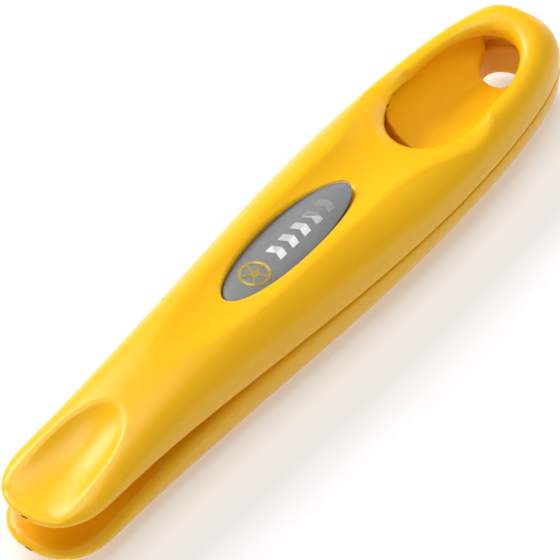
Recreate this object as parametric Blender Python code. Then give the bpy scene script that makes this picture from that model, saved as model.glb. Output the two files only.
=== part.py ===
"""A pair of moulded tyre levers that clip together face to face, with an oval badge.

The upper lever has a hanging loop at one end; a cradle on the lower lever nests in it.
X runs along the levers (tips at -X, loop at +X), Y across, Z up.  The origin is the middle of
the underside.  Lengths below are millimetres; the meshes are made in metres.
"""
import math

import bmesh
import bpy
from mathutils import Vector

MM = 0.001

# ---- the levers' outside ---------------------------------------------------------------------
LENGTH = 123.0            # tip to loop end
WIDTH = 25.0              # widest place, beside the loop
RISE = 9.2                # crown of one lever above the parting plane
REST_LEVEL = 8.2          # the lower lever is flattened this far below the parting plane
PARTING_GAP = 0.3         # air between the two levers' lands
SHOULDER = 1.1            # level of a lever's widest line above the parting plane
UNDERCUT = 0.35           # how far the flank curls in between the widest line and the land
TIP_UNDERCUT = 3.0        # the same at the tips, where it opens a groove between the levers
SECTION_POWER = 2.45      # fullness of the crowned section (2 is an ellipse)
TIP_ROUND = 9.1           # length over which the plan outline rounds off at the tip
TIP_POWER = 2.33
LOOP_ROUND = 41.8         # the same at the loop end
LOOP_POWER = 3.4
TIP_NOSE = 1.6            # side-view rounding of the tip's edge
LOOP_NOSE = 4.0           # side-view rounding of the loop end

BLADE_WIDTH = 16.5        # the tip's straight blade
BLADE_LENGTH = 15.0       # how far it runs before the lever widens
WIDEST_FROM_TIP = 85.0    # where the lever reaches its full width
LOOP_WIDTH = 23.0         # what it narrows to at the loop end
TIP_RISE = 4.5            # crown at the tip
CROWN_FROM = 40.0         # from the tip to where the crown reaches its full rise
CROWN_TO = 58.0           # from the tip to where it starts down again
LOOP_RISE = 7.9           # crown beside the loop
LOOP_FROM = 92.0          # from the tip to where the crown settles at that level

# ---- the gap that opens between the levers towards their ends --------------------------------
TIP_MOUTH = 2.35          # how far each tip's inner face stands off the parting plane
TIP_MOUTH_LENGTH = 27.0   # length over which that mouth closes
LOOP_MOUTH = 0.5
LOOP_MOUTH_LENGTH = 5.0
TIP_SHOULDER = 3.5        # level of the tip's widest line
TIP_FADE = 46.0           # length over which the flank settles from its shape at the tip

# ---- spoon-shaped scoop on the outside of each tip -------------------------------------------
SCOOP_LENGTH = 21.0       # from the tip to the scoop's inner end
SCOOP_WIDTH = 11.0
SCOOP_FLOOR = 4.0         # level of the scoop's floor at the tip
SCOOP_CLIMB_POWER = 3.8   # how suddenly its floor climbs at the inner end
SCOOP_CLOSE_POWER = 4.2   # how bluntly its sides close there
SCOOP_SOFTNESS = 0.6

# ---- thumb trough ----------------------------------------------------------------------------
TROUGH_START = 32.5       # from the tip to the point where the trough starts
TROUGH_LEAD_IN = 13.0     # the longer, the slower it deepens and widens
TROUGH_DEPTH = 2.3        # below the crown
TROUGH_WIDTH = 12.8       # between the two ridges beside it
TROUGH_SPREAD = 4.5       # how far each ridge swings out towards the loop
TROUGH_SPREAD_START = 44.0    # from the loop end to where they start to
TROUGH_SPREAD_LENGTH = 20.0
TROUGH_RUN_OUT = 27.0     # from the loop end to where the upper lever's trough ends
BACK_TROUGH_RUN_OUT = 7.0     # the same on the lower lever's back
TROUGH_RUN_OUT_LENGTH = 22.0
TROUGH_SOFTNESS = 0.6     # rounding of the two ridges

# ---- hanging loop in the upper lever, cradle on the lower one --------------------------------
LOOP_END_RIM = 7.0        # material beyond the opening, at the loop end
OPENING_LENGTH = 27.0
OPENING_WIDTH = 13.6
OPENING_POWER = 2.3       # fullness of the opening's outline
LIP_RADIUS = 2.2          # height of the rolled edge round the opening
LIP_SPREAD = 3.2          # its width
LIP_BREAKOUT = 0.12       # the roll ends this far above the outer face, so that it cuts cleanly
LIP_OVERHANG = 1.4        # how far the lip hangs over the seat below it, at its sides and tip end
SEAT_END_WALL = 2.6       # from the seat's far end to the loop end
SEAT_LEVEL = 4.7          # top of the seat, which the lower lever's cradle nests in
CRADLE_CLEARANCE = 0.35   # between the cradle and its seat
CRADLE_RIM = 0.8          # thickness of the cradle's wall at its top
CRADLE_START = 4.8        # from the opening's tip end to the cradle's tip end
CRADLE_STOP = 6.7         # from the loop end to where the cradle's wall stops, short of the hole
CRADLE_FLOOR = -1.5       # lowest place inside the cradle, from the parting plane
HOLE_DIAMETER = 8.0       # spoke and key-ring hole through the cradle's floor
HOLE_FROM_END = 7.1       # from the loop end to the hole's centre

# ---- hollow inside and what joins the levers -------------------------------------------------
WALL = 2.6
LAND = 2.0                # width of the flat rim where the levers meet
CAVITY_START = 27.0       # from the tip
RIB_THICKNESS = 1.8
RIB_COUNT = 4
PEG_DIAMETER = 3.0
PEG_HEIGHT = 3.6          # above the parting plane
PEG_CLEARANCE = 0.3
PEG_ON_RIBS = (0, 3)      # which ribs carry a peg

# ---- badge -----------------------------------------------------------------------------------
BADGE_LENGTH = 29.2
BADGE_WIDTH = 8.3
BADGE_FROM_TIP = 60.9     # to the badge's centre
BADGE_THICKNESS = 0.9
BADGE_CROWN = 0.75        # height of the clear dome at its middle
BADGE_EDGE = 0.12         # height of the clear dome at its edge
BADGE_SEAT = 1.35         # depth of the recess below the trough's floor
FIT_GAP = 0.3             # air round an inserted piece

# ---- limits of the hollows' shapes -----------------------------------------------------------
NARROWEST = 0.02          # share of its width squared at which a hollow's end is cut off
FLAT_DISH = 0.05          # least height of a hollow's sides over its floor

# ---- mesh density ----------------------------------------------------------------------------
STATION_STEP = 2.9
END_STATIONS = 6
CROWN_STEPS = 22
CURL_STEPS = 3

TIP_X = -LENGTH / 2
END_X = LENGTH / 2
PARTING_Z = REST_LEVEL
OPENING_END = END_X - LOOP_END_RIM
OPENING_START = OPENING_END - OPENING_LENGTH
OPENING_MIDDLE = OPENING_END - OPENING_LENGTH / 2
CRADLE_FROM = OPENING_START + CRADLE_START
UPPER, LOWER = 1, -1      # which side of the parting plane a lever lies on
CAVITY_END = {UPPER: OPENING_START - LIP_OVERHANG - WALL, LOWER: CRADLE_FROM}
TROUGH_ENDS = {UPPER: TROUGH_RUN_OUT, LOWER: BACK_TROUGH_RUN_OUT}


def clamp(value, low=0.0, high=1.0):
    return max(low, min(high, value))


def smooth_step(value):
    value = clamp(value)
    return value * value * (3 - 2 * value)


def smooth_min(a, b, softness):
    blend = clamp(0.5 + 0.5 * (b - a) / softness)
    return b + (a - b) * blend - softness * blend * (1 - blend)


def round_off(distance, reach, power):
    """1 inside, falling to 0 at an end along a superellipse arc."""
    return (1 - clamp(1 - distance / reach) ** power) ** (1 / power)


def half_width(x):
    from_tip = x - TIP_X
    widening = smooth_step((from_tip - BLADE_LENGTH) / (WIDEST_FROM_TIP - BLADE_LENGTH))
    narrowing = smooth_step((from_tip - WIDEST_FROM_TIP) / (LENGTH - WIDEST_FROM_TIP))
    outline = BLADE_WIDTH + (WIDTH - BLADE_WIDTH) * widening - (WIDTH - LOOP_WIDTH) * narrowing
    return (outline / 2 * round_off(from_tip, TIP_ROUND, TIP_POWER)
            * round_off(END_X - x, LOOP_ROUND, LOOP_POWER))


def nose(x):
    return round_off(x - TIP_X, TIP_NOSE, 2) * round_off(END_X - x, LOOP_NOSE, 2)


def near_tip(x, reach):
    """1 at the tip, fading away over a length."""
    return math.exp(-((x - TIP_X) / reach) ** 2)


def shoulder_level(x):
    return SHOULDER + (TIP_SHOULDER - SHOULDER) * near_tip(x, TIP_FADE)


def undercut(x):
    return UNDERCUT + (TIP_UNDERCUT - UNDERCUT) * near_tip(x, TIP_FADE)


def land_level(x):
    tip = TIP_MOUTH * near_tip(x, TIP_MOUTH_LENGTH)
    loop = LOOP_MOUTH * math.exp(-((END_X - x) / LOOP_MOUTH_LENGTH) ** 2)
    return PARTING_GAP / 2 + tip + loop


def crown_level(x):
    """Rises off the tip, runs level, then eases down to the loop."""
    from_tip = x - TIP_X
    still_to_rise = clamp(1 - from_tip / CROWN_FROM) ** 2
    settled = smooth_step((from_tip - CROWN_TO) / (LOOP_FROM - CROWN_TO))
    return RISE - (RISE - TIP_RISE) * still_to_rise - (RISE - LOOP_RISE) * settled


def section_level(x, y):
    """Height of the plain crowned section, before the scoop and the trough."""
    across = clamp(abs(y) / max(half_width(x), 1e-6))
    shoulder = shoulder_level(x)
    return shoulder + (crown_level(x) - shoulder) * (1 - across ** SECTION_POWER) ** (1 / SECTION_POWER)


def dish(x, y, half, floor):
    """A hollow that is as deep as its floor in the middle and meets the section at its half width."""
    return floor + max(section_level(x, half) - floor, FLAT_DISH) * (y / half) ** 2


def scoop_level(x, y):
    along = (x - TIP_X) / SCOOP_LENGTH
    climb = (crown_level(TIP_X + SCOOP_LENGTH) - SCOOP_FLOOR) * along ** SCOOP_CLIMB_POWER
    half = SCOOP_WIDTH / 2 * math.sqrt(max(1 - along ** SCOOP_CLOSE_POWER, NARROWEST))
    return dish(x, y, half, SCOOP_FLOOR + climb)


def trough_level(x, y, side):
    lead = 1 - math.exp(-max(x - TIP_X - TROUGH_START, -TROUGH_LEAD_IN) / TROUGH_LEAD_IN)
    ending = smooth_step((x - END_X + TROUGH_ENDS[side]) / TROUGH_RUN_OUT_LENGTH)
    spread = TROUGH_SPREAD * smooth_step((x - END_X + TROUGH_SPREAD_START) / TROUGH_SPREAD_LENGTH)
    half = TROUGH_WIDTH / 2 * math.sqrt(max(lead, NARROWEST)) + spread
    return dish(x, y, half, crown_level(x) - TROUGH_DEPTH * lead + RISE * ending)


def outside_level(x, y, side):
    """Height of a lever's outer face above the parting plane."""
    level = smooth_min(section_level(x, y), trough_level(x, y, side), TROUGH_SOFTNESS)
    if x < TIP_X + 1.3 * SCOOP_LENGTH:
        level = smooth_min(level, scoop_level(x, y), SCOOP_SOFTNESS)
    return max(level, shoulder_level(x)) if abs(y) > 0.999 * half_width(x) else level


def outer_ring(x, side):
    """One closed section of a lever, as (y, level) pairs from the land round the crown."""
    width = half_width(x)
    shoulder = shoulder_level(x)
    land = land_level(x)
    squash = nose(x)
    curl = min(undercut(x), 0.7 * width)
    flank = []
    for step in range(CURL_STEPS + 1):
        angle = math.pi / 2 * step / CURL_STEPS
        flank.append((width - curl + curl * math.sin(angle),
                      shoulder - (shoulder - land) * squash * math.cos(angle)))
    crown = []
    for step in range(1, CROWN_STEPS):
        angle = math.pi * step / CROWN_STEPS
        y = width * math.cos(angle)
        crown.append((y, shoulder + (outside_level(x, y, side) - shoulder) * squash))
    return flank + crown + [(-y, level) for y, level in reversed(flank)]


def stations():
    """Places along the length, closer together towards the rounded ends."""
    inner = [TIP_X + TIP_ROUND / 2, END_X - LOOP_NOSE]
    count = math.ceil((inner[1] - inner[0]) / STATION_STEP)
    middle = [inner[0] + (inner[1] - inner[0]) * i / count for i in range(count + 1)]
    ends = []
    for i in range(END_STATIONS):
        share = 1 - math.cos(math.pi / 2 * (i + 0.12) / END_STATIONS)
        ends.append(TIP_X + share * (inner[0] - TIP_X))
        ends.append(END_X - share * (END_X - inner[1]))
    return sorted(middle + ends)


def loft(name, rings):
    """A closed solid through rings of equally many points, as a mesh object."""
    mesh = bmesh.new()
    loops = [[mesh.verts.new(Vector(point) * MM) for point in ring] for ring in rings]
    for first, second in zip(loops, loops[1:]):
        for i in range(len(first)):
            j = (i + 1) % len(first)
            mesh.faces.new((first[i], first[j], second[j], second[i]))
    mesh.faces.new(list(reversed(loops[0])))
    mesh.faces.new(loops[-1])
    bmesh.ops.recalc_face_normals(mesh, faces=mesh.faces)
    return finish_mesh(name, mesh)


def finish_mesh(name, mesh):
    data = bpy.data.meshes.new(name)
    mesh.to_mesh(data)
    mesh.free()
    made = bpy.data.objects.new(name, data)
    bpy.context.scene.collection.objects.link(made)
    return made


def lever_blank(name, side):
    """The solid outside of one lever."""
    rings = []
    for x in stations():
        rings.append([(x, y, PARTING_Z + side * level) for y, level in outer_ring(x, side)])
    return loft(name, rings)


def superellipse(length, width, power, count):
    """Outline points of a full oval about the origin."""
    points = []
    for i in range(count):
        angle = 2 * math.pi * i / count
        c, s = math.cos(angle), math.sin(angle)
        points.append((length / 2 * math.copysign(abs(c) ** (2 / power), c),
                       width / 2 * math.copysign(abs(s) ** (2 / power), s)))
    return points


def boolean(target, tool, operation):
    modifier = target.modifiers.new(f"{operation.lower()} {tool.name}", "BOOLEAN")
    modifier.operation = operation
    modifier.solver = "EXACT"
    modifier.object = tool
    tool.hide_render = True
    tool.display_type = "WIRE"
    tool.parent = target


def cylinder(name, diameter, x, low, high, sides):
    rings = []
    for level in (low, high):
        rings.append([(x + diameter / 2 * math.cos(2 * math.pi * i / sides),
                       diameter / 2 * math.sin(2 * math.pi * i / sides),
                       PARTING_Z + level) for i in range(sides)])
    return loft(name, rings)


def rib_places():
    """Middle of each rib across the hollow."""
    start = TIP_X + CAVITY_START
    pitch = (CAVITY_END[UPPER] - start) / (RIB_COUNT + 1)
    return [start + pitch * (i + 1) for i in range(RIB_COUNT)]


def pocket(name, x0, x1, side):
    """The hollow between two ribs, following the outside at one wall's distance."""
    rings = []
    count = max(3, math.ceil((x1 - x0) / (2 * STATION_STEP)) + 1)
    for i in range(count):
        x = x0 + (x1 - x0) * i / (count - 1)
        reach = half_width(x) - undercut(x) - LAND
        ring = [(x, reach, PARTING_Z - side * RISE)]
        for step in range(9):
            y = reach * math.cos(math.pi * step / 8)
            roof = outside_level(x, y, side) - WALL
            roof = min(roof, outside_level(x, abs(y) + WALL / 2, side) - WALL)
            drop = 0.6 * WALL if step in (0, 8) else 0.0
            ring.append((x, y, PARTING_Z + side * (roof - drop)))
        ring.append((x, -reach, PARTING_Z - side * RISE))
        rings.append(ring)
    return loft(name, rings)


def cut_hollow(lever, side):
    edges = [TIP_X + CAVITY_START]
    for x in rib_places():
        edges += [x - RIB_THICKNESS / 2, x + RIB_THICKNESS / 2]
    edges.append(CAVITY_END[side])
    for number, (x0, x1) in enumerate(zip(edges[::2], edges[1::2])):
        boolean(lever, pocket(f"{lever.name} pocket {number}", x0, x1, side), "DIFFERENCE")


def seat_outline(inset, level, start=None, stop=None, opened=0.0):
    """The seat's outline under the lip, smaller all round by an inset.

    It may be cut off square at a start and a stop, or reach further towards the tip.
    """
    low = OPENING_START - LIP_OVERHANG - opened + inset
    high = END_X - SEAT_END_WALL - inset
    width = OPENING_WIDTH + 2 * LIP_OVERHANG - 2 * inset
    outline = []
    for x, y in superellipse(high - low, width, OPENING_POWER, 40):
        x = clamp((low + high) / 2 + x, low if start is None else start, high if stop is None else stop)
        outline.append((x, y, PARTING_Z + level))
    return outline


def cut_opening(lever):
    """The loop's opening, with its edge rolled over into the outer face."""
    sides = 40
    rings = []
    outline = superellipse(OPENING_LENGTH, OPENING_WIDTH, OPENING_POWER, sides)
    reach = superellipse(OPENING_LENGTH + 2 * LIP_SPREAD, OPENING_WIDTH + 2 * LIP_SPREAD,
                         OPENING_POWER, sides)
    crest = [outside_level(OPENING_MIDDLE + x, y, UPPER) + LIP_BREAKOUT for x, y in reach]
    rings.append([(OPENING_MIDDLE + x, y, PARTING_Z - RISE) for x, y in outline])
    for step in range(5):
        angle = math.pi / 2 * step / 4
        share = 1 - math.cos(angle)
        ring = []
        for inner, outer, top in zip(outline, reach, crest):
            x = OPENING_MIDDLE + inner[0] + share * (outer[0] - inner[0])
            y = inner[1] + share * (outer[1] - inner[1])
            ring.append((x, y, PARTING_Z + top - LIP_RADIUS * (1 - math.sin(angle))))
        rings.append(ring)
    rings.append([(OPENING_MIDDLE + x, y, PARTING_Z + 2 * RISE) for x, y in reach])
    boolean(lever, loft("loop opening", rings), "DIFFERENCE")
    seat = [seat_outline(0, level) for level in (-RISE, SEAT_LEVEL)]
    boolean(lever, loft("cradle seat", seat), "DIFFERENCE")


def add_cradle(lever):
    """A half-pipe that stands up inside the loop's seat and hides the joint from above."""
    top = SEAT_LEVEL - CRADLE_CLEARANCE
    wall = [seat_outline(CRADLE_CLEARANCE, level, CRADLE_FROM, END_X - CRADLE_STOP)
            for level in (-SHOULDER, top)]
    boolean(lever, loft("cradle", wall), "UNION")
    rim_inset = CRADLE_CLEARANCE + CRADLE_RIM
    reach = OPENING_WIDTH / 2 + LIP_OVERHANG - rim_inset
    depth = top - CRADLE_FLOOR
    rings = []
    for step in range(1, 9):
        angle = math.pi / 2 * step / 8
        inset = rim_inset + reach * (1 - math.sin(angle))
        level = CRADLE_FLOOR + depth * (1 - math.cos(angle))
        rings.append(seat_outline(inset, level, opened=CRADLE_START))
    rings.append(seat_outline(rim_inset, top + RISE, opened=CRADLE_START))
    boolean(lever, loft("cradle hollow", rings), "DIFFERENCE")
    hole = cylinder("spoke hole", HOLE_DIAMETER, END_X - HOLE_FROM_END, -2 * RISE, 2 * RISE, 28)
    boolean(lever, hole, "DIFFERENCE")


def add_pegs(lever):
    for number, rib in enumerate(PEG_ON_RIBS):
        x = rib_places()[rib]
        peg = cylinder(f"peg {number}", PEG_DIAMETER, x, -WALL, PEG_HEIGHT, 16)
        boolean(lever, peg, "UNION")


def add_sockets(lever):
    """Bosses on the upper lever's ribs, bored for the lower lever's pegs."""
    bore = PEG_DIAMETER + 2 * PEG_CLEARANCE
    for number, rib in enumerate(PEG_ON_RIBS):
        x = rib_places()[rib]
        boss_top = PEG_HEIGHT + WALL
        boss = cylinder(f"boss {number}", bore + 2 * RIB_THICKNESS, x, land_level(x), boss_top, 20)
        boolean(lever, boss, "UNION")
        socket = cylinder(f"socket {number}", bore, x, -RISE, PEG_HEIGHT + PEG_CLEARANCE, 16)
        boolean(lever, socket, "DIFFERENCE")


def badge_x():
    return TIP_X + BADGE_FROM_TIP


def badge_seat_level():
    return trough_level(badge_x(), 0, UPPER) - BADGE_SEAT


def cut_badge_seat(lever):
    outline = superellipse(BADGE_LENGTH + 2 * FIT_GAP, BADGE_WIDTH + 2 * FIT_GAP, 2, 40)
    rings = [[(badge_x() + x, y, PARTING_Z + level) for x, y in outline]
             for level in (badge_seat_level(), 2 * RISE)]
    boolean(lever, loft("badge seat", rings), "DIFFERENCE")


def flatten_back(lever):
    """The flat that the pair rests on."""
    box = [(-LENGTH, -WIDTH), (LENGTH, -WIDTH), (LENGTH, WIDTH), (-LENGTH, WIDTH)]
    rings = [[(x, y, level) for x, y in box] for level in (-RISE, 0.0)]
    boolean(lever, loft("rest plane", rings), "DIFFERENCE")


def make_badge_plate():
    base = badge_seat_level() + FIT_GAP
    outline = superellipse(BADGE_LENGTH, BADGE_WIDTH, 2, 48)
    rings = [[(badge_x() + x, y, PARTING_Z + level) for x, y in outline]
             for level in (base, base + BADGE_THICKNESS)]
    return loft("badge_plate", rings)


def make_badge_dome():
    base = badge_seat_level() + FIT_GAP + BADGE_THICKNESS + FIT_GAP
    outline = superellipse(BADGE_LENGTH, BADGE_WIDTH, 2, 48)
    rings = [[(badge_x() + x, y, PARTING_Z + base) for x, y in outline]]
    for step in range(5):
        angle = math.pi / 2 * step / 5
        scale = math.cos(angle)
        level = base + BADGE_EDGE + (BADGE_CROWN - BADGE_EDGE) * math.sin(angle)
        rings.append([(badge_x() + x * scale, y * scale, PARTING_Z + level) for x, y in outline])
    return loft("badge_dome", rings)


def paint(made, colour, roughness, alpha=1.0, transmission=0.0):
    material = bpy.data.materials.new(made.name)
    material.use_nodes = True
    shader = material.node_tree.nodes["Principled BSDF"]
    shader.inputs["Base Color"].default_value = (*colour, 1.0)
    shader.inputs["Roughness"].default_value = roughness
    shader.inputs["Metallic"].default_value = 0.0
    shader.inputs["Transmission Weight"].default_value = transmission
    shader.inputs["Alpha"].default_value = alpha
    made.data.materials.append(material)
    for face in made.data.polygons:
        face.use_smooth = True


def make_upper_lever():
    lever = lever_blank("upper_lever", UPPER)
    cut_hollow(lever, UPPER)
    add_sockets(lever)
    cut_opening(lever)
    cut_badge_seat(lever)
    return lever


def make_lower_lever():
    lever = lever_blank("lower_lever", LOWER)
    cut_hollow(lever, LOWER)
    add_pegs(lever)
    add_cradle(lever)
    flatten_back(lever)
    return lever


def main():
    for old in list(bpy.data.objects):
        bpy.data.objects.remove(old, do_unlink=True)
    yellow = (0.87, 0.47, 0.02)
    paint(make_upper_lever(), yellow, 0.35)
    paint(make_lower_lever(), yellow, 0.35)
    paint(make_badge_plate(), (0.27, 0.28, 0.28), 0.4)
    paint(make_badge_dome(), (0.9, 0.9, 0.9), 0.05, alpha=0.3, transmission=0.9)


main()
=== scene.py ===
"""Looks of a pair of moulded tyre levers, clipped face to face, on a plain pale floor.

The two levers' fine surfaces come from one smooth solid description each, meshed here.  Shapes
are worked out in millimetres: X along the levers, Y across, and a level that is counted from
the parting plane towards the lever's own back.
"""
import math

import bmesh
import bpy
import numpy as np
from mathutils import Matrix, Vector


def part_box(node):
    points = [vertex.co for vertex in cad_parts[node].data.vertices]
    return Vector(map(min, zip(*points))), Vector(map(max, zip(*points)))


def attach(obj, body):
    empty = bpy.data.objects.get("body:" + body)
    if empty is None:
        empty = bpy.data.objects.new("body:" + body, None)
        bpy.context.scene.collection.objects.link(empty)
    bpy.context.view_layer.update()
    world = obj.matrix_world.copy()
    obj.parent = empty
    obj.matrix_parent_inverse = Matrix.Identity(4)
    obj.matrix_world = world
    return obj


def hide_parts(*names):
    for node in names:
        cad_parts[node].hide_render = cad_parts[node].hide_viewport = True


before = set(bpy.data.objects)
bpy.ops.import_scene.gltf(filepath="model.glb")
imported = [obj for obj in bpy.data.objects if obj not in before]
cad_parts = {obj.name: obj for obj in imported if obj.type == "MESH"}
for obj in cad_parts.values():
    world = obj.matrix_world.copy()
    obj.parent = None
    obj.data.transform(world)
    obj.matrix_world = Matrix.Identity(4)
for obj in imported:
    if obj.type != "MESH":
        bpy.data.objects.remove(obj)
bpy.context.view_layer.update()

MM = 0.001

# ---- the levers' outside, in millimetres -----------------------------------------------------
LENGTH = 123.0
WIDTH = 25.0
RISE = 9.2
REST_LEVEL = 8.2
PARTING_GAP = 0.05
SHOULDER = 1.1
UNDERCUT = 0.35
TIP_UNDERCUT = 3.0
SECTION_POWER = 2.45
TIP_ROUND = 9.1
TIP_POWER = 2.33
LOOP_ROUND = 41.8
LOOP_POWER = 3.4
TIP_NOSE = 1.6
LOOP_NOSE = 4.0
BLADE_WIDTH = 16.5
BLADE_LENGTH = 15.0
WIDEST_FROM_TIP = 85.0
LOOP_WIDTH = 23.0
TIP_RISE = 4.5
CROWN_FROM = 40.0
CROWN_TO = 58.0
LOOP_RISE = 7.9
LOOP_FROM = 92.0
TIP_MOUTH = 2.35
TIP_MOUTH_LENGTH = 27.0
LOOP_MOUTH = 0.5
LOOP_MOUTH_LENGTH = 5.0
TIP_SHOULDER = 3.5
TIP_FADE = 46.0

SCOOP_LENGTH = 21.0
SCOOP_WIDTH = 11.0
SCOOP_FLOOR = 4.0
SCOOP_CLIMB_POWER = 3.8
SCOOP_CLOSE_POWER = 4.2
SCOOP_ROUNDING = 0.4

TROUGH_START = 32.5
TROUGH_LEAD_IN = 13.0
TROUGH_DEPTH = 2.3
TROUGH_WIDTH = 12.8
TROUGH_SPREAD = 4.5
TROUGH_SPREAD_START = 44.0
TROUGH_SPREAD_LENGTH = 20.0
TROUGH_RUN_OUT = 27.0
BACK_TROUGH_RUN_OUT = 7.0
TROUGH_RUN_OUT_LENGTH = 22.0
TROUGH_ROUNDING = 0.45
NARROWEST = 0.02
FLAT_DISH = 0.05

LOOP_END_RIM = 7.0
OPENING_LENGTH = 27.0
OPENING_WIDTH = 13.6
OPENING_POWER = 2.3
LIP_RADIUS = 2.2
LIP_SPREAD = 3.2
LIP_OVERHANG = 1.4
SEAT_END_WALL = 2.6
SEAT_LEVEL = 4.7
CRADLE_CLEARANCE = 0.06
CRADLE_RIM = 0.8
CRADLE_START = 4.8
CRADLE_STOP = 6.7
CRADLE_FLOOR = -1.5
HOLE_DIAMETER = 8.0
HOLE_FROM_END = 7.1

WALL = 2.6
LAND = 2.0
CAVITY_START = 27.0
RIB_THICKNESS = 1.8
RIB_COUNT = 4
PEG_DIAMETER = 3.0
PEG_HEIGHT = 3.6
PEG_CLEARANCE = 0.3
PEG_ON_RIBS = (0, 3)

BADGE_LENGTH = 29.2
BADGE_WIDTH = 8.3
BADGE_FROM_TIP = 60.9
BADGE_THICKNESS = 0.9
BADGE_CROWN = 0.75
BADGE_EDGE = 0.12
BADGE_SEAT = 1.35
FIT_GAP = 0.3

DOME_POWER = 2.4          # fullness of the dome
PRINT_HEIGHT = 0.05
PRINT_GAP = 0.02
WHEEL_X = -8.0
WHEEL_RADIUS = 2.5
WHEEL_RIM = 0.5
WHEEL_HUB = 0.75
WHEEL_SPOKE = 0.34
WHEEL_SPOKES = 5
TREAD_COUNT = 5
TREAD_X = -3.6
TREAD_PITCH = 2.9
TREAD_BAR = 1.5
TREAD_HEIGHT = 2.9
TREAD_LEAN = 0.7

EDGE_ROUNDING = 0.35      # of edges that the mould leaves nearly sharp
CRISP_ROUNDING = 0.12
POCKET_ROUNDING = 1.0
GRID = 0.34               # spacing of the surface's points
INSIDE_BOX = 0.02         # the fine surface stays this far inside the CAD model's box

# ---- studio, in metres -----------------------------------------------------------------------
CAMERA_AZIMUTH = -49.60
CAMERA_ELEVATION = 46.66
CAMERA_ROLL = -3.91
CAMERA_DISTANCE = 0.601
CAMERA_TARGET = (-0.00241, 0.00050, REST_LEVEL * MM)
CAMERA_LENS = 261.3       # millimetres

FLOOR_SIZE = 3.0
FLOOR_DROP = 0.0002       # the floor lies just under the part
SOFTBOX_SIZE = 0.42
SOFTBOX_DISTANCE = 0.75
# Azimuth and elevation in degrees (0 is +X, 90 is +Y) and watts: a broad key behind the levers,
# one overhead, a weaker light off each end and a faint fill on the camera's side.
SOFTBOXES = ((90, 40, 5), (0, 90, 2.5), (180, 15, 1), (0, 15, 1), (270, 30, 0.5))
WORLD_STRENGTH = 0.16
FLOOR_GLOW = 0.3

TIP_X = -LENGTH / 2
END_X = LENGTH / 2
OPENING_END = END_X - LOOP_END_RIM
OPENING_START = OPENING_END - OPENING_LENGTH
OPENING_MIDDLE = OPENING_END - OPENING_LENGTH / 2
CRADLE_FROM = OPENING_START + CRADLE_START
UPPER, LOWER = 1, -1
CAVITY_END = {UPPER: OPENING_START - LIP_OVERHANG - WALL, LOWER: CRADLE_FROM}
TROUGH_ENDS = {UPPER: TROUGH_RUN_OUT, LOWER: BACK_TROUGH_RUN_OUT}


# ---- shape functions, on numpy arrays --------------------------------------------------------
def smooth_step(value):
    value = np.clip(value, 0.0, 1.0)
    return value * value * (3 - 2 * value)


def round_off(distance, reach, power):
    return (1 - np.clip(1 - distance / reach, 0.0, 1.0) ** power) ** (1 / power)


def half_width(x):
    from_tip = x - TIP_X
    widening = smooth_step((from_tip - BLADE_LENGTH) / (WIDEST_FROM_TIP - BLADE_LENGTH))
    narrowing = smooth_step((from_tip - WIDEST_FROM_TIP) / (LENGTH - WIDEST_FROM_TIP))
    outline = BLADE_WIDTH + (WIDTH - BLADE_WIDTH) * widening - (WIDTH - LOOP_WIDTH) * narrowing
    return (outline / 2 * round_off(from_tip, TIP_ROUND, TIP_POWER)
            * round_off(END_X - x, LOOP_ROUND, LOOP_POWER))


def nose(x):
    return round_off(x - TIP_X, TIP_NOSE, 2) * round_off(END_X - x, LOOP_NOSE, 2)


def near_tip(x, reach):
    return np.exp(-((x - TIP_X) / reach) ** 2)


def shoulder_level(x):
    return SHOULDER + (TIP_SHOULDER - SHOULDER) * near_tip(x, TIP_FADE)


def undercut(x):
    return UNDERCUT + (TIP_UNDERCUT - UNDERCUT) * near_tip(x, TIP_FADE)


def land_level(x):
    tip = TIP_MOUTH * near_tip(x, TIP_MOUTH_LENGTH)
    loop = LOOP_MOUTH * np.exp(-((END_X - x) / LOOP_MOUTH_LENGTH) ** 2)
    return PARTING_GAP / 2 + tip + loop


def crown_level(x):
    """Rises off the tip, runs level, then eases down to the loop."""
    from_tip = x - TIP_X
    still_to_rise = np.clip(1 - from_tip / CROWN_FROM, 0.0, 1.0) ** 2
    settled = smooth_step((from_tip - CROWN_TO) / (LOOP_FROM - CROWN_TO))
    return RISE - (RISE - TIP_RISE) * still_to_rise - (RISE - LOOP_RISE) * settled


def section_level(x, y):
    """Height of the plain crowned section, before the scoop and the trough."""
    across = np.clip(np.abs(y) / np.maximum(half_width(x), 0.05), 0.0, 1.0)
    shoulder = shoulder_level(x)
    return shoulder + (crown_level(x) - shoulder) * (1 - across ** SECTION_POWER) ** (1 / SECTION_POWER)


def dish(x, y, half, floor):
    """A hollow that is as deep as its floor in the middle and meets the section at its half width."""
    return floor + np.maximum(section_level(x, half) - floor, FLAT_DISH) * (y / half) ** 2


def scoop_level(x, y):
    along = np.clip((x - TIP_X) / SCOOP_LENGTH, 0.0, 1.4)
    climb = (float(crown_level(np.array(TIP_X + SCOOP_LENGTH))) - SCOOP_FLOOR) * along ** SCOOP_CLIMB_POWER
    half = SCOOP_WIDTH / 2 * np.sqrt(np.maximum(1 - along ** SCOOP_CLOSE_POWER, NARROWEST))
    return dish(x, y, half, SCOOP_FLOOR + climb)


def trough_level(x, y, side):
    lead = 1 - np.exp(-np.maximum(x - TIP_X - TROUGH_START, -TROUGH_LEAD_IN) / TROUGH_LEAD_IN)
    ending = smooth_step((x - END_X + TROUGH_ENDS[side]) / TROUGH_RUN_OUT_LENGTH)
    spread = TROUGH_SPREAD * smooth_step((x - END_X + TROUGH_SPREAD_START) / TROUGH_SPREAD_LENGTH)
    half = TROUGH_WIDTH / 2 * np.sqrt(np.maximum(lead, NARROWEST)) + spread
    return dish(x, y, half, crown_level(x) - TROUGH_DEPTH * lead + RISE * ending)


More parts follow.
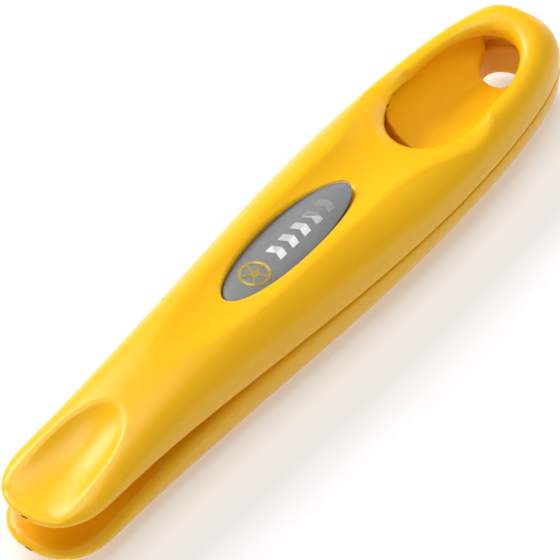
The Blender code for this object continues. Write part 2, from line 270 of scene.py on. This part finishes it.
# ---- joining solids: a field is negative inside, and near its surface it is a distance --------
def both(a, b, radius):
    """Inside both fields, with their edge rounded to a radius."""
    return (np.minimum(np.maximum(a, b), -radius)
            + np.hypot(np.maximum(a + radius, 0.0), np.maximum(b + radius, 0.0)))


def either(a, b, radius):
    return -both(-a, -b, radius)


def without(solid, cut, radius):
    return both(solid, -cut, radius)


def under(surface, level, x, y, *extra):
    """Distance below a surface given as a height function of x and y."""
    step = 0.05
    here = surface(x, y, *extra)
    slope_x = (surface(x + step, y, *extra) - here) / step
    slope_y = (surface(x, y + step, *extra) - here) / step
    return (level - here) / np.sqrt(1 + slope_x ** 2 + slope_y ** 2)


def oval(x, y, half_length, half_width_, power):
    """Distance from an upright oval's wall."""
    a, b = np.abs(x) / half_length, np.abs(y) / half_width_
    gauge = np.maximum((a ** power + b ** power) ** (1 / power), 1e-3)
    slope = np.hypot((a / gauge) ** (power - 1) / half_length, (b / gauge) ** (power - 1) / half_width_)
    return (gauge - 1) / slope


def outside(x, y, level):
    """A lever's crowned outside, its curled-in flanks and its flat land."""
    step = 0.02
    x = np.clip(x, TIP_X + step, END_X - step)

    def sizes(at):
        squash = np.maximum(nose(at), 0.05)
        shoulder = shoulder_level(at)
        return (np.maximum(half_width(at), 0.05), np.maximum((crown_level(at) - shoulder) * squash, 0.05),
                shoulder)

    width, rise, shoulder = sizes(x)
    width_on, rise_on, _ = sizes(x + step / 2)
    across = np.minimum(np.abs(y) / width, 4.0)
    up = np.clip((level - shoulder) / rise, 0.0, 4.0)
    power = SECTION_POWER
    gauge = np.maximum((across ** power + up ** power) ** (1 / power), 1e-2)
    part_y = (across / gauge) ** (power - 1)
    part_z = (up / gauge) ** (power - 1)
    along = (part_y * across * (width_on - width) / width
             + part_z * up * (rise_on - rise) / rise) / (step / 2)
    crown = (gauge - 1) / np.sqrt((part_y / width) ** 2 + (part_z / rise) ** 2 + along ** 2)

    land = land_level(x)
    curl = np.minimum(undercut(x), 0.7 * width)
    deep = np.maximum((shoulder - land) * np.maximum(nose(x), 0.05), 0.05)
    out = np.maximum(np.abs(y) - (width - curl), 0.0) / curl
    down = np.maximum(shoulder - level, 0.0) / deep
    size = np.maximum(np.hypot(out, down), 1e-3)
    steep = np.sqrt((out / size / curl) ** 2 + (down / size / deep) ** 2
                    + (out / size * (width_on - width) / (step / 2) / curl) ** 2)
    flank = (size - 1) / np.maximum(steep, 1e-3)
    return np.where(level > shoulder, crown, flank)


def skin(x, y, level, side):
    """The solid outside of one lever, with its trough and scoop."""
    body = outside(x, y, level)
    body = both(body, under(trough_level, level, x, y, side), TROUGH_ROUNDING)
    body = both(body, under(scoop_level, level, x, y), SCOOP_ROUNDING)
    rounding = CRISP_ROUNDING + (EDGE_ROUNDING - CRISP_ROUNDING) * near_tip(x, TIP_MOUTH_LENGTH)
    return both(body, land_level(x) - level, rounding)


def rib_places():
    start = TIP_X + CAVITY_START
    pitch = (CAVITY_END[UPPER] - start) / (RIB_COUNT + 1)
    return [start + pitch * (i + 1) for i in range(RIB_COUNT)]


def roof_level(x, y, side):
    """The hollow's roof, one wall below the outside."""
    return np.minimum(section_level(x, np.abs(y) + WALL / 2), trough_level(x, y, side)) - WALL


def hollow(x, y, level, side):
    """The pockets between the ribs."""
    reach = half_width(x) - undercut(x) - LAND
    walls = both(np.abs(y) - reach, under(roof_level, level, x, y, side), POCKET_ROUNDING)
    start = TIP_X + CAVITY_START
    along = np.abs(x - (start + CAVITY_END[side]) / 2) - (CAVITY_END[side] - start) / 2
    for rib in rib_places():
        along = np.maximum(along, RIB_THICKNESS / 2 - np.abs(x - rib))
    return both(walls, along, POCKET_ROUNDING)


def pin(x, y, at, diameter):
    return np.hypot(x - at, y) - diameter / 2


def seat(x, y, opened=0.0):
    """Plan distance from the wall of the seat under the lip, which may open towards the tip."""
    low = OPENING_START - LIP_OVERHANG - opened
    high = END_X - SEAT_END_WALL
    return oval(x - (low + high) / 2, y, (high - low) / 2, OPENING_WIDTH / 2 + LIP_OVERHANG,
                OPENING_POWER)


def badge_centre():
    return TIP_X + BADGE_FROM_TIP


def badge_seat_level():
    return float(trough_level(np.array(badge_centre()), 0.0, UPPER)) - BADGE_SEAT


def upper_lever(x, y, level):
    solid = without(skin(x, y, level, UPPER), hollow(x, y, level, UPPER), EDGE_ROUNDING)
    bore = PEG_DIAMETER + 2 * PEG_CLEARANCE
    for rib in PEG_ON_RIBS:
        at = rib_places()[rib]
        low = float(land_level(np.array(at)))
        boss = np.maximum(pin(x, y, at, bore + 2 * RIB_THICKNESS),
                          np.maximum(low - level, level - PEG_HEIGHT - WALL))
        solid = either(solid, boss, EDGE_ROUNDING)
        socket = np.maximum(pin(x, y, at, bore), level - PEG_HEIGHT - PEG_CLEARANCE)
        solid = without(solid, socket, EDGE_ROUNDING / 2)
    opening = oval(x - OPENING_MIDDLE, y, OPENING_LENGTH / 2, OPENING_WIDTH / 2, OPENING_POWER)
    solid = without(solid, opening * LIP_RADIUS / LIP_SPREAD, LIP_RADIUS)
    solid = without(solid, np.maximum(seat(x, y), level - SEAT_LEVEL), CRISP_ROUNDING)
    badge = oval(x - badge_centre(), y, BADGE_LENGTH / 2 + FIT_GAP, BADGE_WIDTH / 2 + FIT_GAP, 2)
    return without(solid, np.maximum(badge, badge_seat_level() - level), EDGE_ROUNDING)


def lower_lever(x, y, level):
    """Level counts downwards here, so what stands above the parting plane is below zero."""
    solid = without(skin(x, y, level, LOWER), hollow(x, y, level, LOWER), EDGE_ROUNDING)
    for rib in PEG_ON_RIBS:
        peg = np.maximum(pin(x, y, rib_places()[rib], PEG_DIAMETER),
                         np.maximum(-PEG_HEIGHT - level, level - WALL))
        solid = either(solid, peg, EDGE_ROUNDING)
    top = SEAT_LEVEL - CRADLE_CLEARANCE
    stretch = np.maximum(CRADLE_FROM - x, x - (END_X - CRADLE_STOP))
    wall = both(seat(x, y) + CRADLE_CLEARANCE, stretch, EDGE_ROUNDING)
    cradle = both(wall, -top - level, CRISP_ROUNDING)
    solid = either(solid, np.maximum(cradle, level - SHOULDER), EDGE_ROUNDING)
    reach = OPENING_WIDTH / 2 + LIP_OVERHANG - CRADLE_CLEARANCE - CRADLE_RIM
    depth = top - CRADLE_FLOOR
    rim = np.clip(1 + (seat(x, y, CRADLE_START) + CRADLE_CLEARANCE + CRADLE_RIM) / reach, 0.0, 4.0)
    drop = np.clip((level + top) / depth, 0.0, 4.0)
    round_ = np.maximum(np.hypot(rim, drop), 1e-3)
    bowl = (round_ - 1) / np.maximum(np.hypot(rim / round_ / reach, drop / round_ / depth), 1e-3)
    solid = without(solid, bowl, CRISP_ROUNDING)
    hole = pin(x, y, END_X - HOLE_FROM_END, HOLE_DIAMETER)
    solid = without(solid, hole, EDGE_ROUNDING)
    return both(solid, level - REST_LEVEL, EDGE_ROUNDING)


# ---- meshing a field -------------------------------------------------------------------------
def grid_line(low, high):
    return np.arange(low - 2 * GRID, high + 3 * GRID, GRID)


def sample(field, xs, ys, zs):
    """The field on a grid, a slab at a time."""
    values = np.empty((len(xs), len(ys), len(zs)), np.float32)
    for start in range(0, len(xs), 32):
        part = xs[start:start + 32, None, None]
        values[start:start + 32] = np.broadcast_to(field(part, ys[None, :, None], zs[None, None, :]),
                                                   (part.shape[0], len(ys), len(zs)))
    return values


def surface_net(values, xs, ys, zs):
    """Points and quads of the surface where a sampled field is zero."""
    shape = np.array(values.shape) - 1
    inside = values < 0
    corner = [(i, j, k) for i in (0, 1) for j in (0, 1) for k in (0, 1)]
    count = np.zeros(shape, np.int8)
    for i, j, k in corner:
        count += inside[i:i + shape[0], j:j + shape[1], k:k + shape[2]]
    cells = np.argwhere((count > 0) & (count < 8))
    at = {c: values[cells[:, 0] + c[0], cells[:, 1] + c[1], cells[:, 2] + c[2]] for c in corner}
    total = np.zeros((len(cells), 3))
    crossings = np.zeros(len(cells))
    for a in corner:
        for axis in range(3):
            if a[axis]:
                continue
            b = tuple(v + (n == axis) for n, v in enumerate(a))
            crossed = (at[a] < 0) != (at[b] < 0)
            share = np.where(crossed, at[a] / np.where(crossed, at[a] - at[b], 1.0), 0.0)
            place = np.array(a, float)[None, :].repeat(len(cells), 0)
            place[:, axis] = share
            total += place * crossed[:, None]
            crossings += crossed
    origin = np.array([xs[0], ys[0], zs[0]])
    points = origin + (cells + total / crossings[:, None]) * GRID
    number = np.full(shape, -1, np.int64)
    number[tuple(cells.T)] = np.arange(len(cells))
    quads = []
    for axis in range(3):
        others = [n for n in range(3) if n != axis]
        low = [slice(1, -1)] * 3
        low[axis] = slice(0, -1)
        high = list(low)
        high[axis] = slice(1, None)
        first, second = inside[tuple(low)], inside[tuple(high)]
        edges = np.argwhere(first != second)
        outward = first[tuple(edges.T)]
        base = edges.copy()
        base[:, others] += 1
        ring = []
        for du, dv in ((0, 0), (1, 0), (1, 1), (0, 1)):
            cell = base.copy()
            cell[:, others[0]] -= 1 - du
            cell[:, others[1]] -= 1 - dv
            ring.append(number[tuple(cell.T)])
        quad = np.stack(ring, 1)
        flip = outward if axis == 1 else ~outward
        quad[flip] = quad[flip][:, ::-1]
        quads.append(quad)
    return points, np.concatenate(quads)


def settle(field, points):
    """Moves points onto the field's surface along its slope."""
    step = 0.03
    for _ in range(3):
        x, y, z = points.T
        value = field(x, y, z)
        slope = np.stack([(field(x + step, y, z) - field(x - step, y, z)) / (2 * step),
                          (field(x, y + step, z) - field(x, y - step, z)) / (2 * step),
                          (field(x, y, z + step) - field(x, y, z - step)) / (2 * step)], 1)
        move = value[:, None] * slope / np.maximum((slope ** 2).sum(1), 0.2)[:, None]
        length = np.linalg.norm(move, axis=1, keepdims=True)
        points = points - move * np.minimum(1.0, 0.3 * GRID / np.maximum(length, 1e-9))
    return points


def relax(points, quads, share):
    """Evens out neighbouring points a little."""
    total = np.zeros_like(points)
    count = np.zeros(len(points))
    for a, b in ((0, 1), (1, 2), (2, 3), (3, 0)):
        np.add.at(total, quads[:, a], points[quads[:, b]])
        np.add.at(count, quads[:, a], 1)
        np.add.at(total, quads[:, b], points[quads[:, a]])
        np.add.at(count, quads[:, b], 1)
    return points + share * (total / count[:, None] - points)


def make_lever(name, field, side, levels):
    """A lever's fine surface, placed in the frame and kept inside its CAD node's box."""
    xs, ys = grid_line(TIP_X, END_X), grid_line(-WIDTH / 2, WIDTH / 2)
    zs = grid_line(*levels)
    points, quads = surface_net(sample(field, xs, ys, zs), xs, ys, zs)
    points = settle(field, relax(points, quads, 0.5))
    points[:, 2] = REST_LEVEL + side * points[:, 2]
    low, high = (np.array(c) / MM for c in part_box(name))
    points = np.clip(points, low + INSIDE_BOX, high - INSIDE_BOX)
    if side == LOWER:
        quads = quads[:, ::-1]
    mesh = bpy.data.meshes.new(name + "_moulding")
    mesh.vertices.add(len(points))
    mesh.vertices.foreach_set("co", (points * MM).astype(np.float32).ravel())
    mesh.loops.add(quads.size)
    mesh.loops.foreach_set("vertex_index", quads.astype(np.int32).ravel())
    mesh.polygons.add(len(quads))
    mesh.polygons.foreach_set("loop_start", np.arange(0, quads.size, 4, dtype=np.int32))
    mesh.update(calc_edges=True)
    mesh.validate()
    mesh.shade_smooth()
    made = bpy.data.objects.new(name + "_moulding", mesh)
    bpy.context.scene.collection.objects.link(made)
    return made


# ---- badge -----------------------------------------------------------------------------------
def badge_plate_top():
    return REST_LEVEL + badge_seat_level() + FIT_GAP + BADGE_THICKNESS


def make_lens():
    """The clear dome, from just above the printed plate."""
    count, steps = 96, 20
    low = badge_plate_top() + PRINT_HEIGHT + PRINT_GAP
    edge = badge_plate_top() + FIT_GAP + BADGE_EDGE
    levels = [(1.0, low)]
    for step in range(steps):
        share = 1 - step / steps
        levels.append((share, edge + (BADGE_CROWN - BADGE_EDGE) * (1 - share ** DOME_POWER)))
    mesh = bmesh.new()
    rings = []
    for share, level in levels:
        rings.append([mesh.verts.new(Vector((badge_centre() + share * BADGE_LENGTH / 2 * math.cos(a),
                                             share * BADGE_WIDTH / 2 * math.sin(a), level)) * MM)
                      for a in (2 * math.pi * i / count for i in range(count))])
    for first, second in zip(rings, rings[1:]):
        for i in range(count):
            j = (i + 1) % count
            mesh.faces.new((first[i], first[j], second[j], second[i]))
    mesh.faces.new(list(reversed(rings[0])))
    mesh.faces.new(rings[-1])
    for face in mesh.faces:
        face.smooth = len(face.verts) == 4
    return piece_from("badge_lens", mesh)


def piece_from(name, mesh):
    data = bpy.data.meshes.new(name)
    mesh.to_mesh(data)
    mesh.free()
    made = bpy.data.objects.new(name, data)
    bpy.context.scene.collection.objects.link(made)
    return made


def printed(name, outlines):
    """Flat printed shapes on the badge plate, from outlines that may lie inside each other."""
    curve = bpy.data.curves.new(name, "CURVE")
    curve.dimensions = "2D"
    curve.fill_mode = "BOTH"
    curve.extrude = PRINT_HEIGHT * MM / 2
    for outline in outlines:
        spline = curve.splines.new("POLY")
        spline.points.add(len(outline) - 1)
        for point, (x, y) in zip(spline.points, outline):
            point.co = (x * MM, y * MM, 0.0, 1.0)
        spline.use_cyclic_u = True
    helper = bpy.data.objects.new(name + "_outline", curve)
    bpy.context.scene.collection.objects.link(helper)
    data = bpy.data.meshes.new_from_object(helper.evaluated_get(bpy.context.evaluated_depsgraph_get()))
    bpy.data.objects.remove(helper)
    bpy.data.curves.remove(curve)
    place = Vector((badge_centre(), 0.0, badge_plate_top() + PRINT_GAP + PRINT_HEIGHT / 2)) * MM
    data.transform(Matrix.Translation(place))
    made = bpy.data.objects.new(name, data)
    bpy.context.scene.collection.objects.link(made)
    return made


def arc(x, radius, start, end, count):
    angles = [math.radians(start + (end - start) * i / (count - 1)) for i in range(count)]
    return [(x + radius * math.cos(a), radius * math.sin(a)) for a in angles]


def wheel_outlines():
    """A plain spoked wheel."""
    shapes = [arc(WHEEL_X, WHEEL_RADIUS, 0, 360 - 360 / 48, 48)]
    half = 180 / WHEEL_SPOKES
    for i in range(WHEEL_SPOKES):
        middle = 2 * half * i + half
        outer, inner = WHEEL_RADIUS - WHEEL_RIM, WHEEL_HUB
        trim_out = math.degrees(WHEEL_SPOKE / 2 / outer)
        trim_in = math.degrees(WHEEL_SPOKE / 2 / inner)
        shapes.append(arc(WHEEL_X, outer, middle - half + trim_out, middle + half - trim_out, 8)
                      + arc(WHEEL_X, inner, middle + half - trim_in, middle - half + trim_in, 4))
    return shapes


def tread_outlines():
    """A row of plain tread bars."""
    shapes = []
    for i in range(TREAD_COUNT):
        x = TREAD_X + TREAD_PITCH * i
        tall = TREAD_HEIGHT / 2
        shapes.append([(x, tall), (x + TREAD_BAR, tall), (x + TREAD_BAR + TREAD_LEAN, 0.0),
                       (x + TREAD_BAR, -tall), (x, -tall), (x + TREAD_LEAN, 0.0)])
    return shapes


# ---- materials -------------------------------------------------------------------------------
def new_material(name, colour, roughness, specular=0.5):
    material = bpy.data.materials.new(name)
    material.use_nodes = True
    shader = material.node_tree.nodes["Principled BSDF"]
    shader.inputs["Base Color"].default_value = (*colour, 1.0)
    shader.inputs["Roughness"].default_value = roughness
    shader.inputs["Specular IOR Level"].default_value = specular
    return material, shader


def node(material, kind, **values):
    made = material.node_tree.nodes.new(kind)
    for key, value in values.items():
        made.inputs[key].default_value = value
    return made


def link(material, source, target):
    material.node_tree.links.new(source, target)


def noise(material, scale, detail, roughness=0.5):
    """Noise laid out in object coordinates."""
    place = material.node_tree.nodes.new("ShaderNodeTexCoord")
    made = node(material, "ShaderNodeTexNoise", Scale=scale, Detail=detail, Roughness=roughness)
    link(material, place.outputs["Object"], made.inputs["Vector"])
    return made


def spread(material, source, low, high):
    """Turns a 0 to 1 value into a range."""
    made = node(material, "ShaderNodeMapRange")
    made.inputs["From Min"].default_value = 0.3
    made.inputs["From Max"].default_value = 0.7
    made.inputs["To Min"].default_value = low
    made.inputs["To Max"].default_value = high
    link(material, source, made.inputs["Value"])
    return made.outputs["Result"]


def between(material, factor, first, second):
    mix = material.node_tree.nodes.new("ShaderNodeMix")
    mix.data_type = "RGBA"
    link(material, factor, mix.inputs["Factor"])
    for socket in mix.inputs:
        if socket.type == "RGBA":
            socket.default_value = (*(first if socket.identifier.startswith("A") else second), 1.0)
    return [socket for socket in mix.outputs if socket.type == "RGBA"][0]


def lever_plastic():
    """Satin moulded nylon: slight colour drift, fine mould texture, and a little light inside."""
    material, shader = new_material("satin yellow plastic", (0.93, 0.50, 0.004), 0.3, 0.36)
    drift = noise(material, 45.0, 3.0)
    colour = between(material, spread(material, drift.outputs["Fac"], 0.0, 1.0),
                     (0.92, 0.485, 0.003), (0.94, 0.515, 0.005))
    link(material, colour, shader.inputs["Base Color"])
    speckle = noise(material, 900.0, 3.0, 0.6)
    link(material, spread(material, speckle.outputs["Fac"], 0.27, 0.35), shader.inputs["Roughness"])
    grain = noise(material, 2600.0, 2.0)
    bump = node(material, "ShaderNodeBump", Strength=0.12, Distance=0.00006)
    link(material, grain.outputs["Fac"], bump.inputs["Height"])
    link(material, bump.outputs["Normal"], shader.inputs["Normal"])
    shader.inputs["Subsurface Weight"].default_value = 0.25
    shader.inputs["Subsurface Radius"].default_value = (1.0, 0.45, 0.08)
    shader.inputs["Subsurface Scale"].default_value = 0.0012
    return material


def badge_grey():
    material, shader = new_material("grey badge", (0.26, 0.27, 0.275), 0.4)
    flecks = noise(material, 1500.0, 2.0)
    colour = between(material, spread(material, flecks.outputs["Fac"], 0.0, 1.0),
                     (0.25, 0.258, 0.264), (0.285, 0.295, 0.30))
    link(material, colour, shader.inputs["Base Color"])
    return material


def badge_print(name, colour):
    material, shader = new_material(name, colour, 0.45)
    flecks = noise(material, 1800.0, 2.0)
    link(material, between(material, spread(material, flecks.outputs["Fac"], 0.0, 1.0), colour,
                           tuple(0.93 * part for part in colour)), shader.inputs["Base Color"])
    return material


def clear_resin():
    """See-through, with a soft shine that grows towards grazing angles."""
    material, shader = new_material("clear resin", (1.0, 1.0, 1.0), 0.1)
    tree = material.node_tree
    tree.nodes.remove(shader)
    clear = tree.nodes.new("ShaderNodeBsdfTransparent")
    gloss = node(material, "ShaderNodeBsdfGlossy")
    gloss.inputs["Roughness"].default_value = 0.3
    ripple = noise(material, 220.0, 1.0)
    bump = node(material, "ShaderNodeBump", Strength=0.1, Distance=0.00005)
    link(material, ripple.outputs["Fac"], bump.inputs["Height"])
    link(material, bump.outputs["Normal"], gloss.inputs["Normal"])
    share = node(material, "ShaderNodeFresnel", IOR=1.25)
    mix = tree.nodes.new("ShaderNodeMixShader")
    link(material, share.outputs["Fac"], mix.inputs["Fac"])
    link(material, clear.outputs["BSDF"], mix.inputs[1])
    link(material, gloss.outputs["BSDF"], mix.inputs[2])
    link(material, mix.outputs["Shader"], tree.nodes["Material Output"].inputs["Surface"])
    return material


# ---- camera, light, floor --------------------------------------------------------------------
def place_camera():
    azimuth, elevation, roll = map(math.radians, (CAMERA_AZIMUTH, CAMERA_ELEVATION, CAMERA_ROLL))
    back = Vector((math.sin(azimuth) * math.cos(elevation), -math.cos(azimuth) * math.cos(elevation),
                   math.sin(elevation)))
    right = Vector((math.cos(azimuth), math.sin(azimuth), 0))
    up = back.cross(right)
    rolled_right = right * math.cos(roll) + up * math.sin(roll)
    rolled_up = up * math.cos(roll) - right * math.sin(roll)
    data = bpy.data.cameras.new("camera")
    data.sensor_width = 36
    data.lens = CAMERA_LENS
    data.clip_end = 10
    camera = bpy.data.objects.new("camera", data)
    axes = Matrix((rolled_right, rolled_up, back)).transposed().to_4x4()
    camera.matrix_world = Matrix.Translation(Vector(CAMERA_TARGET) + back * CAMERA_DISTANCE) @ axes
    bpy.context.scene.collection.objects.link(camera)
    bpy.context.scene.camera = camera


def softbox(name, azimuth, elevation, power):
    """A square softbox that faces the part.  Azimuth 0 is +X and 90 is +Y."""
    around, above = math.radians(azimuth), math.radians(elevation)
    place = Vector((math.cos(around) * math.cos(above), math.sin(around) * math.cos(above), math.sin(above)))
    data = bpy.data.lights.new(name, "AREA")
    data.shape = "SQUARE"
    data.size = SOFTBOX_SIZE
    data.energy = power
    light = bpy.data.objects.new(name, data)
    light.location = SOFTBOX_DISTANCE * place
    light.rotation_euler = (-place).to_track_quat("-Z", "Y").to_euler()
    bpy.context.scene.collection.objects.link(light)


def make_floor():
    mesh = bmesh.new()
    bmesh.ops.create_grid(mesh, x_segments=1, y_segments=1, size=FLOOR_SIZE)
    data = bpy.data.meshes.new("floor")
    mesh.to_mesh(data)
    mesh.free()
    floor = bpy.data.objects.new("floor", data)
    floor.location.z = -FLOOR_DROP
    bpy.context.scene.collection.objects.link(floor)
    material, shader = new_material("floor white", (0.7, 0.7, 0.7), 0.9, 0.1)
    shader.inputs["Emission Color"].default_value = (1.0, 1.0, 1.0, 1.0)
    shader.inputs["Emission Strength"].default_value = FLOOR_GLOW
    data.materials.append(material)


def make_light():
    world = bpy.data.worlds.new("studio")
    bpy.context.scene.world = world
    world.use_nodes = True
    world.node_tree.nodes["Background"].inputs["Color"].default_value = (1.0, 1.0, 1.0, 1.0)
    world.node_tree.nodes["Background"].inputs["Strength"].default_value = WORLD_STRENGTH
    for number, (azimuth, elevation, power) in enumerate(SOFTBOXES):
        softbox(f"softbox_{number}", azimuth, elevation, power)
    bpy.context.scene.view_settings.view_transform = "Standard"


def main():
    place_camera()
    make_floor()
    make_light()
    plastic = lever_plastic()
    pieces = (
        (make_lever("upper_lever", upper_lever, UPPER, (0.0, RISE)), "upper", plastic, "lever_plastic",
         "upper_lever"),
        (make_lever("lower_lever", lower_lever, LOWER, (-SEAT_LEVEL, REST_LEVEL)), "lower", plastic,
         "lever_plastic", "lower_lever"),
        (make_lens(), "upper", clear_resin(), "badge_clear", "badge_dome"),
        (printed("badge_wheel_print", wheel_outlines()), "upper",
         badge_print("yellow print", (0.80, 0.58, 0.10)), "badge_grey", None),
        (printed("badge_tread_print", tread_outlines()), "upper",
         badge_print("white print", (0.95, 0.95, 0.95)), "badge_grey", None),
    )
    for piece, body, material, slot, replaced in pieces:
        piece.data.materials.append(material)
        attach(piece, body)
        if replaced:
            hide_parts(replaced)
    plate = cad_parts["badge_plate"].data
    plate.materials.clear()
    plate.materials.append(badge_grey())


main()
